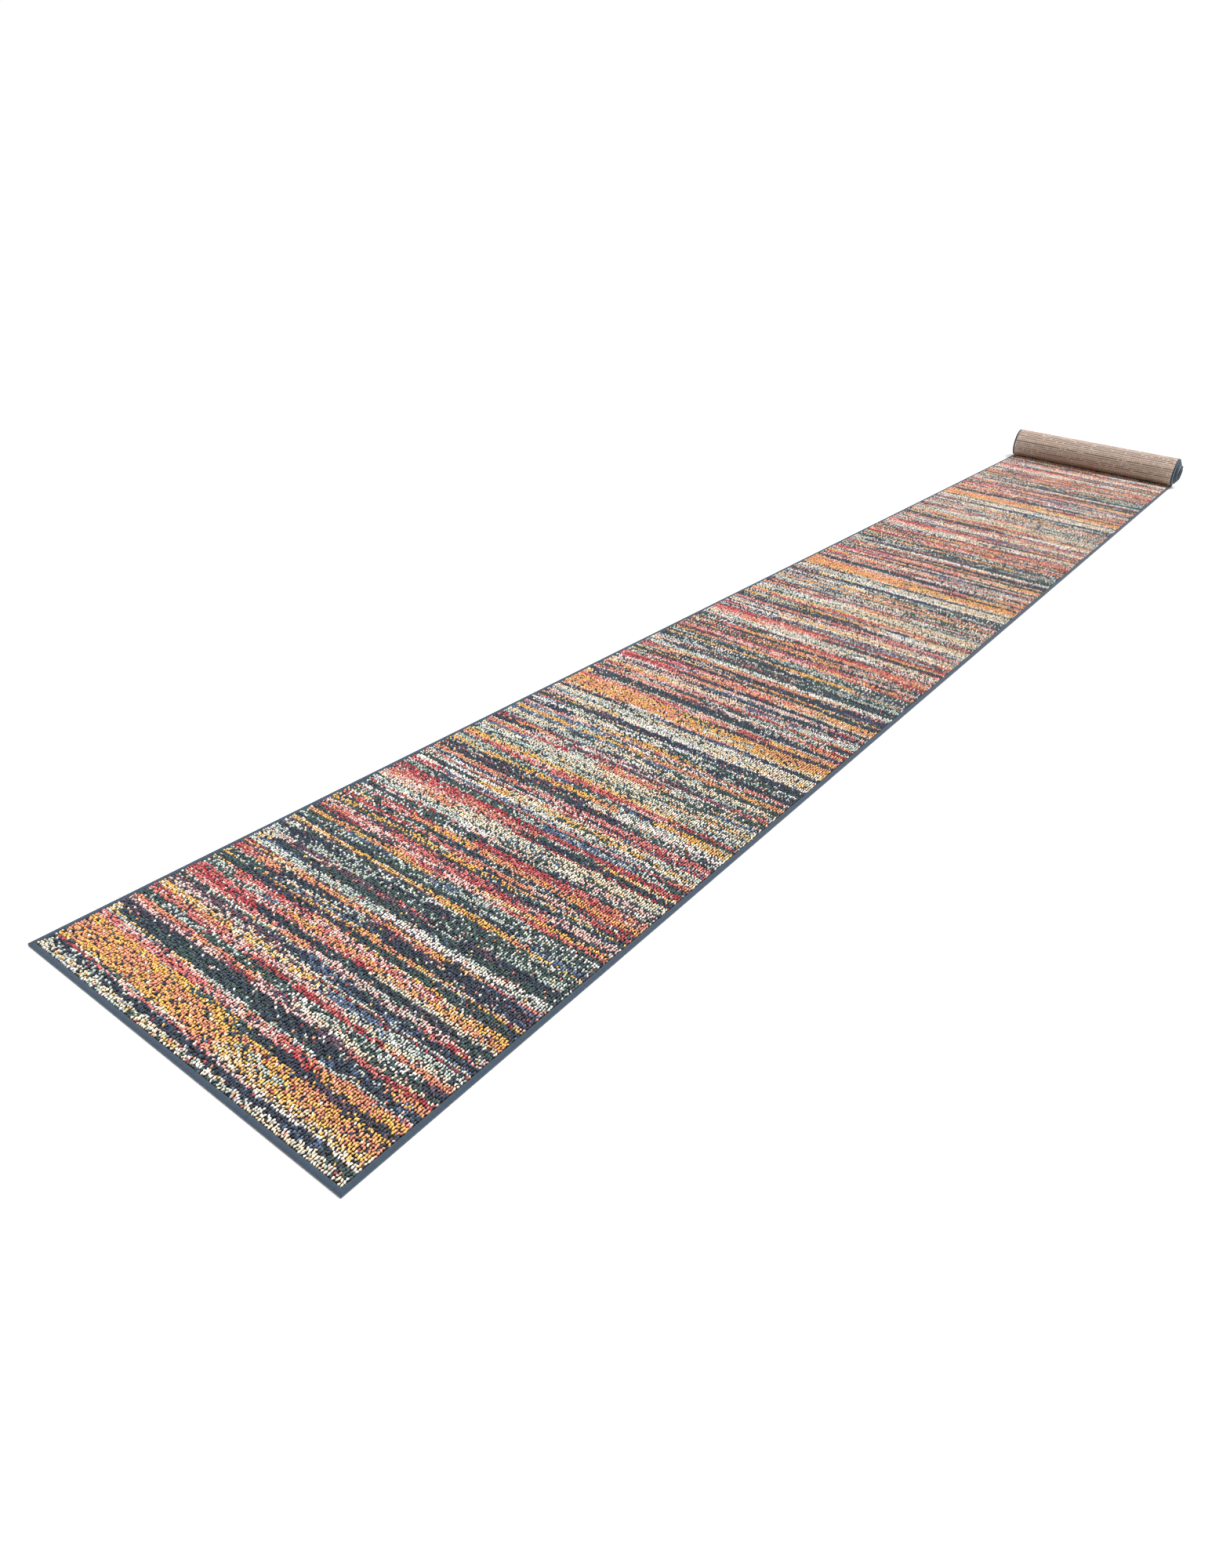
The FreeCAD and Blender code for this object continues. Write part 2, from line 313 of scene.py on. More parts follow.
def plan_the_weave():
    """The band edges of one repeat in metres, and the two yarns of every band and run as colours."""
    chance = np.random.RandomState(seed)
    edges = []
    bands = []
    stretch_end = 0.0
    for length, *often in stretches:
        place = stretch_end
        stretch_end += length / 1000
        odds = np.array(often) / sum(often)
        while place < stretch_end - yarn_pitch / 2:
            tuft_rows_in_band = 1 + int(most_rows * chance.rand() ** fewer_rows)
            place = min(place + tuft_rows_in_band * yarn_pitch, stretch_end)
            edges.append(place)
            bands.append(run_across_the_cloth(odds, chance))
    return np.array(edges), np.array(bands)


def run_across_the_cloth(odds, chance):
    """One band's runs of yarn from side to side: it mostly keeps its colourway and changes its pair."""
    way = chance.choice(len(colourways), p=odds)
    pair = chance.randint(pairs_in_a_colourway)
    runs = []
    for _ in range(runs_across):
        change = chance.rand()
        if change < new_colourway_share:
            way = chance.choice(len(colourways), p=odds)
        if change < new_pair_share:
            pair = chance.randint(pairs_in_a_colourway)
        main, fleck = colourways[way][pair]
        runs.append([yarns[main], yarns[fleck]])
    return runs


band_ends, band_yarns = plan_the_weave()
specks = np.array([yarns[letter] for letter in "ngscwmorkpvbwsgn"])


def yarn_colours(along, across, chance):
    """The dyed colour of each tuft, from its place on the cloth. Chance is one random stream."""
    count = len(along)
    place = np.asarray(along) + waver_reach * (grain(along, across, *waver_size, 11) - 0.5) * 2
    place = place + jog_reach * (grain(along, across, *jog_size, 12) - 0.5) * 2
    place = (place + band_stray * chance.randn(count)) % band_ends[-1]
    band = np.minimum(np.searchsorted(band_ends, place), len(band_ends) - 1)
    share = (half_width + np.asarray(across)) / (2 * half_width)
    shift = (grain(band * band_step, 0 * share, 1, 1, 13) - 0.5) * run_shift
    share = share + shift + run_stray * chance.randn(count)
    run = np.clip((share * runs_across).astype(int), 0, runs_across - 1)
    column = np.round(np.asarray(across) / yarn_pitch).astype(int)
    streak = streak_share * grain(along, across, *streak_size, 15)
    streak = streak + patch_share * grain(along, across, *patch_size, 16)
    second = streak + column_share * (column % 2) + chance_share * chance.rand(count) > fleck_above
    colour = band_yarns[band, run, second.astype(int)]
    speck = chance.rand(count)
    odd = specks[chance.randint(0, len(specks), count)]
    colour = np.where((speck < odd_tufts_below)[:, None], odd, colour)
    colour = np.where((speck > navy_tufts_above)[:, None], yarns["n"], colour)
    shade = np.clip(1 + dye_spread * chance.randn(count), darkest_dye, palest_dye)
    return np.clip(colour * shade[:, None], 0, brightest)


def back_colours(along, across, chance):
    """What shows on the underside: even rows of brown knots, a few painted pale as highlights, with a faded
    trace of the bands.
    """
    knots = np.random.RandomState(seed + 5)
    knot_kind = knots.rand(noise_cells, noise_cells)
    row_strength = knots.rand(noise_cells)
    row = np.floor(np.asarray(along) / row_pitch + knot_start).astype(int) % noise_cells
    knot = np.floor(np.asarray(across) / knot_pitch + knot_start).astype(int) % noise_cells
    kind = knot_kind[row, knot]
    brown = (least_brown + brown_by_row * row_strength[row] + brown_by_knot * kind)[:, None]
    faded = band_trace * yarn_colours(along, across, chance) + (1 - band_trace) * faded_ground
    colour = brown * knot_brown + (1 - brown) * faded
    # Painted highlights: a few knots are lightened towards a pale colour.
    highlighted = (1 - painted_knot_highlight_share) * colour + painted_knot_highlight_share * painted_knot_highlight
    return np.where((kind > painted_knot_highlights_above)[:, None], highlighted, colour)


# ---------------------------------------------------------------------------
# Node helpers
# ---------------------------------------------------------------------------


def new_node(tree, kind, inputs=(), **settings):
    """A node of a kind, with its settings and its inputs by name or number."""
    node = tree.nodes.new(kind)
    for key, value in settings.items():
        setattr(node, key, value)
    for key, value in dict(inputs).items():
        if isinstance(value, bpy.types.NodeSocket):
            tree.links.new(value, node.inputs[key])
        else:
            node.inputs[key].default_value = value
    return node


def sum_of(tree, operation, first, second):
    """What a Math node makes of two values."""
    return new_node(tree, "ShaderNodeMath", {0: first, 1: second}, operation=operation).outputs[0]


def mix_colour(tree, share, first, second):
    """Two colours mixed by a share from 0 to 1."""
    node = tree.nodes.new("ShaderNodeMix")
    node.data_type = "RGBA"
    tree.links.new(share, node.inputs[0])
    for socket, value in ((node.inputs[6], first), (node.inputs[7], second)):
        if isinstance(value, bpy.types.NodeSocket):
            tree.links.new(value, socket)
        else:
            socket.default_value = value
    return node.outputs[2]


def shader_group(name, inputs, outputs):
    """An empty shader node group with its named sockets, and its two ends."""
    group = bpy.data.node_groups.new(name, "ShaderNodeTree")
    for label, kind, value in inputs:
        socket = group.interface.new_socket(name=label, in_out="INPUT", socket_type=kind)
        if value is not None:
            socket.default_value = value
    for label, kind in outputs:
        group.interface.new_socket(name=label, in_out="OUTPUT", socket_type=kind)
    return group, group.nodes.new("NodeGroupInput"), group.nodes.new("NodeGroupOutput")


# ---------------------------------------------------------------------------
# Finishes
# ---------------------------------------------------------------------------


def make_spun_yarn():
    """Twisted fibres: a shade that varies along each yarn, and the height of the twist."""
    group, given, result = shader_group(
        "spun_yarn",
        [
            ("Place", "NodeSocketVector", None),
            ("Dyed Colour", "NodeSocketColor", (0.5, 0.5, 0.5, 1)),
            ("Fibre Count", "NodeSocketFloat", 900.0),
            ("Unevenness", "NodeSocketFloat", 0.35),
        ],
        [("Colour", "NodeSocketColor"), ("Height", "NodeSocketFloat")],
    )
    noise = new_node(
        group,
        "ShaderNodeTexNoise",
        {"Vector": given.outputs["Place"], "Scale": given.outputs["Fibre Count"], "Detail": 2.0},
    )
    spread = new_node(
        group,
        "ShaderNodeMapRange",
        {
            "Value": noise.outputs["Fac"],
            "From Min": 0.3,
            "From Max": 0.7,
            "To Min": -0.5,
            "To Max": 0.5,
        },
    )
    change = sum_of(group, "MULTIPLY", spread.outputs["Result"], given.outputs["Unevenness"])
    shade = sum_of(group, "ADD", change, 1.0)
    tinted = new_node(
        group,
        "ShaderNodeVectorMath",
        {0: given.outputs["Dyed Colour"], "Scale": shade},
        operation="SCALE",
    )
    group.links.new(tinted.outputs["Vector"], result.inputs["Colour"])
    group.links.new(noise.outputs["Fac"], result.inputs["Height"])
    return group


def rise_and_fall(tree, turns):
    """A wave from 0 to 1 and back for each whole turn."""
    angle = sum_of(tree, "MULTIPLY", turns, math.tau)
    wave = new_node(tree, "ShaderNodeMath", {0: angle}, operation="SINE").outputs[0]
    return sum_of(tree, "ADD", sum_of(tree, "MULTIPLY", wave, 0.5), 0.5)


def make_plain_weave():
    """Ground weave seen from the back: where a knuckle shows, where the weft lies, and the height."""
    group, given, result = shader_group(
        "plain_weave",
        [
            ("Place", "NodeSocketVector", None),
            ("Pitch Along", "NodeSocketFloat", row_pitch),
            ("Pitch Across", "NodeSocketFloat", knot_pitch),
        ],
        [("Knuckle", "NodeSocketFloat"), ("Rib", "NodeSocketFloat"), ("Height", "NodeSocketFloat")],
    )
    parts = new_node(group, "ShaderNodeSeparateXYZ", {"Vector": given.outputs["Place"]})
    row = sum_of(group, "DIVIDE", parts.outputs["X"], given.outputs["Pitch Along"])
    rib = sum_of(group, "DIVIDE", parts.outputs["Y"], given.outputs["Pitch Across"])
    row_up = rise_and_fall(group, row)
    rib_up = rise_and_fall(group, rib)
    rib_part = sum_of(group, "ADD", sum_of(group, "MULTIPLY", rib_up, 0.4), 0.6)
    knuckle = new_node(
        group,
        "ShaderNodeMapRange",
        {"Value": sum_of(group, "MULTIPLY", row_up, rib_part), "From Min": 0.34, "From Max": 0.56},
        interpolation_type="SMOOTHSTEP",
    )
    height = sum_of(group, "MAXIMUM", sum_of(group, "MULTIPLY", rib_up, 0.7), row_up)
    group.links.new(knuckle.outputs["Result"], result.inputs["Knuckle"])
    group.links.new(rib_up, result.inputs["Rib"])
    group.links.new(height, result.inputs["Height"])
    return group


def matt_fabric(name, roughness, sheen):
    """A material for cloth or yarn, its tree, and its surface shader."""
    material = bpy.data.materials.new(name)
    material.use_nodes = True
    tree = material.node_tree
    surface = tree.nodes["Principled BSDF"]
    surface.inputs["Roughness"].default_value = roughness
    surface.inputs["Specular IOR Level"].default_value = 0.2
    surface.inputs["Sheen Weight"].default_value = sheen
    surface.inputs["Sheen Roughness"].default_value = 0.6
    return material, tree, surface


def relief(tree, surface, height, depth, strength):
    """Fine relief from a height."""
    bump = new_node(tree, "ShaderNodeBump", {"Height": height, "Distance": depth, "Strength": strength})
    tree.links.new(bump.outputs["Normal"], surface.inputs["Normal"])


def make_cut_pile(spun_yarn):
    """Tufts of dyed yarn, with painted shade darkening the root and painted light brightening the tip."""
    material, tree, surface = matt_fabric("cut_pile_yarn", roughness=0.92, sheen=0.25)
    dyed = new_node(tree, "ShaderNodeAttribute", attribute_name="yarn")
    rise = new_node(tree, "ShaderNodeAttribute", attribute_name="rise")
    # Painted shade and light: the dyed colour is scaled down towards the root and up past its own value
    # towards the tip, by the tuft's rise.
    depth = new_node(
        tree,
        "ShaderNodeMapRange",
        {
            "Value": rise.outputs["Fac"],
            "From Min": 0.4,
            "From Max": 0.95,
            "To Min": 0.34,
            "To Max": 1.62,
        },
    )
    shaded = new_node(
        tree,
        "ShaderNodeVectorMath",
        {0: dyed.outputs["Color"], "Scale": depth.outputs["Result"]},
        operation="SCALE",
    )
    place = new_node(tree, "ShaderNodeTexCoord")
    fibres = new_node(tree, "ShaderNodeGroup")
    fibres.node_tree = spun_yarn
    tree.links.new(place.outputs["Object"], fibres.inputs["Place"])
    tree.links.new(shaded.outputs["Vector"], fibres.inputs["Dyed Colour"])
    fibres.inputs["Fibre Count"].default_value = 1400.0
    fibres.inputs["Unevenness"].default_value = 0.45
    tree.links.new(fibres.outputs["Colour"], surface.inputs["Base Color"])
    relief(tree, surface, fibres.outputs["Height"], depth=0.0006, strength=0.5)
    return material


def make_woven_back(spun_yarn, plain_weave):
    """Jute-coloured ground, with painted shade between its ribs, and knuckles of the pile yarn showing
    through in rows.
    """
    material, tree, surface = matt_fabric("woven_back_jute", roughness=0.95, sheen=0.1)
    place = new_node(tree, "ShaderNodeUVMap", uv_map="cloth")
    weave = new_node(tree, "ShaderNodeGroup")
    weave.node_tree = plain_weave
    tree.links.new(place.outputs["UV"], weave.inputs["Place"])
    dyed = new_node(tree, "ShaderNodeAttribute", attribute_name="yarn")
    jute = tuple(linear(218, 196, 180)) + (1.0,)
    # Painted shade: the jute is darker in the grooves between the ribs.
    jute_in_painted_shade = tuple(linear(176, 156, 142)) + (1.0,)
    ground = mix_colour(tree, weave.outputs["Rib"], jute_in_painted_shade, jute)
    shown = mix_colour(tree, weave.outputs["Knuckle"], ground, dyed.outputs["Color"])
    fibres = new_node(tree, "ShaderNodeGroup")
    fibres.node_tree = spun_yarn
    coordinates = new_node(tree, "ShaderNodeTexCoord")
    tree.links.new(coordinates.outputs["Object"], fibres.inputs["Place"])
    tree.links.new(shown, fibres.inputs["Dyed Colour"])
    fibres.inputs["Fibre Count"].default_value = 700.0
    fibres.inputs["Unevenness"].default_value = 0.30
    tree.links.new(fibres.outputs["Colour"], surface.inputs["Base Color"])
    relief(tree, surface, weave.outputs["Height"], depth=0.0008, strength=0.8)
    return material


def make_painted_root_shade():
    """The face of the backing that the tufts stand in, in their shade."""
    material, tree, surface = matt_fabric("shaded_pile_roots", roughness=0.95, sheen=0.0)
    # Painted shade: the backing's face is coloured dark, as it lies in the tufts' shade.
    surface.inputs["Base Color"].default_value = tuple(linear(52, 48, 46)) + (1.0,)
    return material


def make_edge_thread(spun_yarn):
    """Slate-blue overlocking thread, each stitch a little different."""
    material, tree, surface = matt_fabric("slate_blue_edge_thread", roughness=0.7, sheen=0.2)
    dyed = new_node(tree, "ShaderNodeAttribute", attribute_name="yarn")
    place = new_node(tree, "ShaderNodeTexCoord")
    fibres = new_node(tree, "ShaderNodeGroup")
    fibres.node_tree = spun_yarn
    tree.links.new(place.outputs["Object"], fibres.inputs["Place"])
    tree.links.new(dyed.outputs["Color"], fibres.inputs["Dyed Colour"])
    fibres.inputs["Fibre Count"].default_value = 1500.0
    fibres.inputs["Unevenness"].default_value = 0.25
    tree.links.new(fibres.outputs["Colour"], surface.inputs["Base Color"])
    relief(tree, surface, fibres.outputs["Height"], depth=0.0003, strength=0.4)
    return material


spun_yarn = make_spun_yarn()
plain_weave = make_plain_weave()
cut_pile = make_cut_pile(spun_yarn)
woven_back = make_woven_back(spun_yarn, plain_weave)
edge_thread = make_edge_thread(spun_yarn)
painted_root_shade = make_painted_root_shade()
thread_blue = linear(58, 76, 94)


# ---------------------------------------------------------------------------
# Meshes
# ---------------------------------------------------------------------------


def put_attribute(mesh, name, kind, values):
    """A named attribute on the mesh's points."""
    layer = mesh.attributes.get(name) or mesh.attributes.new(name, kind, "POINT")
    field = {"FLOAT": "value", "INT": "value", "FLOAT_VECTOR": "vector", "FLOAT_COLOR": "color"}[kind]
    layer.data.foreach_set(field, np.asarray(values, np.float32 if kind != "INT" else np.int32).ravel())


def with_alpha(colours):
    """Colours with a fourth part of 1."""
    return np.concatenate([colours, np.ones((len(colours), 1))], axis=1)


def new_piece(name, points, faces, material=None):
    """A mesh object at the origin, from points and faces."""
    mesh = bpy.data.meshes.new(name)
    mesh.from_pydata([tuple(p) for p in np.asarray(points, float)], [], [tuple(f) for f in faces])
    mesh.polygons.foreach_set("use_smooth", [True] * len(mesh.polygons))
    if material:
        mesh.materials.append(material)
    piece = bpy.data.objects.new(name, mesh)
    bpy.context.scene.collection.objects.link(piece)
    mesh.update()
    return piece


def grid_shell(along, across, low, high):
    """A closed slab of cloth over a grid of places: its points' places, heights and faces."""
    rows = len(along)
    columns = len(across)
    u, v = np.meshgrid(along, across, indexing="ij")
    u = np.concatenate([u.ravel(), u.ravel()])
    v = np.concatenate([v.ravel(), v.ravel()])
    count = rows * columns
    h = np.concatenate([np.broadcast_to(low, (rows, columns)).ravel(), np.full(count, high)])
    corner = (np.arange(rows - 1)[:, None] * columns + np.arange(columns - 1)[None, :]).ravel()
    under = np.stack([corner, corner + 1, corner + columns + 1, corner + columns], axis=1)
    over = np.stack([corner, corner + columns, corner + columns + 1, corner + 1], axis=1) + count
    rim = (
        list(range(columns))
        + [r * columns + columns - 1 for r in range(1, rows)]
        + list(range(rows * columns - 2, (rows - 1) * columns - 1, -1))
        + [r * columns for r in range(rows - 2, 0, -1)]
    )
    rim = np.array(rim)
    after = np.roll(rim, -1)
    wall = np.stack([after, rim, rim + count, after + count], axis=1)
    return u, v, h, np.concatenate([under, over, wall])


def cloth_map(piece, along, across):
    """The piece's own map: metres along the cloth and across it."""
    layer = piece.data.uv_layers.new(name="cloth")
    corner = np.empty(len(piece.data.loops), np.int32)
    piece.data.loops.foreach_get("vertex_index", corner)
    layer.data.foreach_set("uv", np.stack([along[corner], across[corner]], axis=1).ravel())


def make_cloth(name, along, across, knuckle):
    """The woven backing over a stretch of the rug, its underside raised in knuckles."""
    chance = np.random.RandomState(seed)
    rows, columns = len(along), len(across)
    checker = (np.arange(rows)[:, None] + np.arange(columns)[None, :]) % 2
    low = -knuckle * checker
    low[:, 0] = low[:, -1] = 0
    low[0] = low[-1] = 0
    u, v, h, faces = grid_shell(along, across, low, cloth_thick)
    points, _ = on_cloth(u, v, h)
    piece = new_piece(name, points, faces, woven_back)
    # The top faces, where the tufts stand, take the dark painted shade of their roots.
    piece.data.materials.append(painted_root_shade)
    top = np.zeros(len(faces), np.int32)
    top[(rows - 1) * (columns - 1) : 2 * (rows - 1) * (columns - 1)] = 1
    piece.data.polygons.foreach_set("material_index", top)
    cloth_map(piece, u, v)
    put_attribute(piece.data, "yarn", "FLOAT_COLOR", with_alpha(back_colours(u, v, chance)))
    return piece


# ---------------------------------------------------------------------------
# Tufts, planted by Geometry Nodes
# ---------------------------------------------------------------------------


def make_planting_tree():
    """Stands one of a few shapes on every spot, turned by the spot's own turn and a small random one."""
    tree = bpy.data.node_groups.new("plant_on_spots", "GeometryNodeTree")
    sockets = {}
    for label, kind in (
        ("Spots", "NodeSocketGeometry"),
        ("Shapes", "NodeSocketCollection"),
        ("Finish", "NodeSocketMaterial"),
        ("Lean", "NodeSocketVector"),
        ("Smallest", "NodeSocketVector"),
        ("Largest", "NodeSocketVector"),
        ("Seed", "NodeSocketInt"),
    ):
        sockets[label] = tree.interface.new_socket(name=label, in_out="INPUT", socket_type=kind)
    tree.interface.new_socket(name="Planted", in_out="OUTPUT", socket_type="NodeSocketGeometry")
    given = tree.nodes.new("NodeGroupInput")
    result = tree.nodes.new("NodeGroupOutput")
    shapes = new_node(
        tree,
        "GeometryNodeCollectionInfo",
        {"Collection": given.outputs["Shapes"], "Separate Children": True, "Reset Children": True},
    )
    turn = new_node(tree, "GeometryNodeInputNamedAttribute", {"Name": "turn"}, data_type="FLOAT_VECTOR")
    stand = new_node(tree, "FunctionNodeEulerToRotation", {0: turn.outputs[0]})
    back = new_node(
        tree,
        "ShaderNodeVectorMath",
        {0: given.outputs["Lean"], "Scale": -1.0},
        operation="SCALE",
    )
    lean = new_node(
        tree,
        "FunctionNodeRandomValue",
        {"Seed": given.outputs["Seed"]},
        data_type="FLOAT_VECTOR",
    )
    tree.links.new(back.outputs[0], lean.inputs[0])
    tree.links.new(given.outputs["Lean"], lean.inputs[1])
    by = new_node(tree, "FunctionNodeEulerToRotation", {0: lean.outputs[0]})
    turned = new_node(
        tree,
        "FunctionNodeRotateRotation",
        {0: stand.outputs[0], 1: by.outputs[0]},
        rotation_space="LOCAL",
    )
    size = new_node(tree, "FunctionNodeRandomValue", data_type="FLOAT_VECTOR")
    tree.links.new(given.outputs["Smallest"], size.inputs[0])
    tree.links.new(given.outputs["Largest"], size.inputs[1])
    tree.links.new(sum_of(tree, "ADD", given.outputs["Seed"], 1.0), size.inputs["Seed"])
    stood = new_node(
        tree,
        "GeometryNodeInstanceOnPoints",
        {
            "Points": given.outputs["Spots"],
            "Instance": shapes.outputs[0],
            "Pick Instance": True,
            "Rotation": turned.outputs[0],
            "Scale": size.outputs[0],
        },
    )
    real = new_node(tree, "GeometryNodeRealizeInstances", {0: stood.outputs[0]})
    finished = new_node(
        tree, "GeometryNodeSetMaterial", {"Geometry": real.outputs[0], "Material": given.outputs["Finish"]}
    )
    tree.links.new(finished.outputs[0], result.inputs[0])
    return tree, sockets


planting_tree, planting_inputs = make_planting_tree()


def plant(name, points, turned, colours, shapes, finish, lean, smallest, largest, number):
    """One plain mesh of shapes stood on points of the cloth."""
    piece = new_piece(name, points, [])
    turn = np.zeros((len(points), 3))
    turn[:, 1] = -turned
    put_attribute(piece.data, "turn", "FLOAT_VECTOR", turn)
    put_attribute(piece.data, "yarn", "FLOAT_COLOR", with_alpha(colours))
    modifier = piece.modifiers.new("planting", "NODES")
    modifier.node_group = planting_tree
    values = {
        "Shapes": shapes,
        "Finish": finish,
        "Lean": lean,
        "Smallest": smallest,
        "Largest": largest,
        "Seed": number,
    }
    for label, value in values.items():
        modifier[planting_inputs[label].identifier] = value
    view = bpy.context.evaluated_depsgraph_get()
    mesh = bpy.data.meshes.new_from_object(
        piece.evaluated_get(view), preserve_all_data_layers=True, depsgraph=view
    )
    piece.modifiers.clear()
    spots = piece.data
    piece.data = mesh
    bpy.data.meshes.remove(spots)
    mesh.name = name
    mesh.attributes.remove(mesh.attributes["turn"])
    return piece


def shape_collection(name, meshes):
    """The shapes a planting picks from."""
    collection = bpy.data.collections.new(name)
    for number, mesh in enumerate(meshes):
        collection.objects.link(bpy.data.objects.new(f"{name}_{number}", mesh))
    return collection


def make_tufts(count):
    """Cut ends of yarn: a narrow root, a full waist and a leaning tip."""
    chance = np.random.RandomState(seed)
    meshes = []
    for number in range(count):
        spin = chance.rand() * math.tau
        points = [(0, 0, tuft_root)]
        for side in range(tuft_sides):
            angle = spin + (side + angle_spread * chance.randn()) * math.tau / tuft_sides
            reach = yarn_pitch / 2 * (1 + reach_spread * chance.randn())
            waist = pile_top * waist_share + waist_spread * chance.randn()
            x = waist_along * reach * math.cos(angle)
            y = waist_across * reach * math.sin(angle)
            points.append((x, y, waist))
        tip_x = tip_spread_along * chance.randn()
        tip_y = tip_spread_across * chance.randn()
        points.append((tip_x, tip_y, pile_top + tuft_tip))
        tip = tuft_sides + 1
        faces = []
        for side in range(tuft_sides):
            here, following = 1 + side, 1 + (side + 1) % tuft_sides
            faces.append((here, following, tip))
            faces.append((following, here, 0))
        mesh = bpy.data.meshes.new(f"tuft_{number}")
        mesh.from_pydata(points, [], faces)
        mesh.polygons.foreach_set("use_smooth", [True] * len(faces))
        # The rise from root to tip, which the pile's material turns into painted shade and painted light.
        put_attribute(mesh, "rise", "FLOAT", [0.0] + [rise_at_waist] * tuft_sides + [1.0])
        meshes.append(mesh)
    return shape_collection("tuft", meshes)


tufts = make_tufts(tuft_kinds)


def tuft_rows(start, end):
    """Row places along the cloth, at even spacing close to the yarn's own."""
    rows = max(1, round((end - start) / yarn_pitch))
    return start + (np.arange(rows) + 0.5) * (end - start) / rows


columns = round(2 * pile_half / yarn_pitch)
column_places = -pile_half + (np.arange(columns) + 0.5) * 2 * pile_half / columns


def make_pile(name, start, end, across, number):
    """Tufts over one stretch and some columns of the cloth."""
    chance = np.random.RandomState(seed * 100 + number)
    u, v = np.meshgrid(tuft_rows(start, end), across, indexing="ij")
    u = u.ravel()
    v = v.ravel()
    u = u + stray_along * chance.randn(len(u)).clip(-most_stray, most_stray)
    v = v + stray_across * chance.randn(len(v)).clip(-most_stray, most_stray)
    u = np.clip(u, start + tuft_margin, end - tuft_margin)
    points, turned = on_cloth(u, v, 0 * u)
    return plant(
        name,
        points,
        turned,
        yarn_colours(u, v, chance),
        tufts,
        cut_pile,
        tuft_lean,
        smallest_tuft,
        largest_tuft,
        number,
    )


# ---------------------------------------------------------------------------
# Bindings
# ---------------------------------------------------------------------------


def edge_section():
    """The binding's rounded section: places across it from its middle, and heights."""
    corner = []
    for step in range(section_points):
        angle = math.tau * step / section_points
        out = np.array([math.cos(angle), math.sin(angle)])
        rounded = np.sign(out) * np.abs(out) ** section_squareness
        corner.append(rounded * np.array([edge_width / 2, edge_height / 2]))
    return np.array(corner) + np.array([0, edge_height / 2])


def thread_colours(thread_rows, points_round, chance):
    """The thread's colour at each point of a binding, each row a little different, with painted shade in the
    grooves.
    """
    shade = 1 + thread_unevenness * np.repeat(chance.randn(thread_rows), points_round)
    # Painted shade: the groove rows are darkened.
    groove = np.where(np.arange(thread_rows) % 2 == 1, 1.0, painted_groove_shade)
    groove = np.repeat(groove, points_round)
    return with_alpha(thread_blue[None, :] * (shade * groove)[:, None])


def sweep(stations, section):
    """A closed tube through rows of points, one row for each station."""
    rows = len(stations)
    sides = len(section)
    points = stations.reshape(-1, 3)
    faces = []
    for row in range(rows - 1):
        for side in range(sides):
            a = row * sides + side
            b = row * sides + (side + 1) % sides
            faces.append((a, b, b + sides, a + sides))
    faces.append(tuple(range(sides - 1, -1, -1)))
    faces.append(tuple(range((rows - 1) * sides, rows * sides)))
    return points, faces


def make_side_binding(name, start, end, side, mitred=False):
    """The overlocked edge along one side of a stretch of the cloth."""
    chance = np.random.RandomState(seed + 31)
    section = edge_section()
    count = max(2, round((end - start) / stitch_pitch))
    thread_rows = 2 * count + 1
    u = np.linspace(start, end, thread_rows)
    swell = np.where(np.arange(thread_rows) % 2 == 1, 1.0, groove_swell)
    middle = side * (half_width - edge_width / 2)
    v = middle + side * section[:, 0][None, :] * swell[:, None]
    h = edge_height / 2 + (section[:, 1] - edge_height / 2)[None, :] * swell[:, None]
    uu = np.repeat(u[:, None], len(section), axis=1)
    if mitred:
        inward = half_width - side * v
        uu = np.maximum(uu, np.minimum(inward, edge_width))
    places, _ = on_cloth(uu, v, h)
    points, faces = sweep(places, section)
    if side > 0:
        faces = [tuple(reversed(face)) for face in faces]
    piece = new_piece(name, points, faces, edge_thread)
    put_attribute(piece.data, "yarn", "FLOAT_COLOR", thread_colours(thread_rows, len(section), chance))
    return piece


def make_end_binding(name, start, toward):
    """The overlocked edge across one end of the cloth, mitred into the side ones."""
    chance = np.random.RandomState(seed + 41)
    section = edge_section()
    count = round(2 * half_width / stitch_pitch)
    thread_rows = 2 * count + 1
    v = np.linspace(-half_width, half_width, thread_rows)
    swell = np.where(np.arange(thread_rows) % 2 == 1, 1.0, groove_swell)
    u = start + toward * (edge_width / 2 + section[:, 0][None, :] * swell[:, None])
    h = edge_height / 2 + (section[:, 1] - edge_height / 2)[None, :] * swell[:, None]
    inward = np.abs(u - start)
    limit = half_width - inward
    vv = np.clip(np.repeat(v[:, None], len(section), axis=1), -limit, limit)
    places, _ = on_cloth(u, vv, h)
    points, faces = sweep(places, section)
    if toward > 0:
        faces = [tuple(reversed(face)) for face in faces]
    piece = new_piece(name, points, faces, edge_thread)
    put_attribute(piece.data, "yarn", "FLOAT_COLOR", thread_colours(thread_rows, len(section), chance))
    return piece


# ---------------------------------------------------------------------------
# The rug
# ---------------------------------------------------------------------------


def places_between(start, end, step):
    """Evenly spaced places from start to end, about a step apart."""
    return np.linspace(start, end, max(1, round((end - start) / step)) + 1)


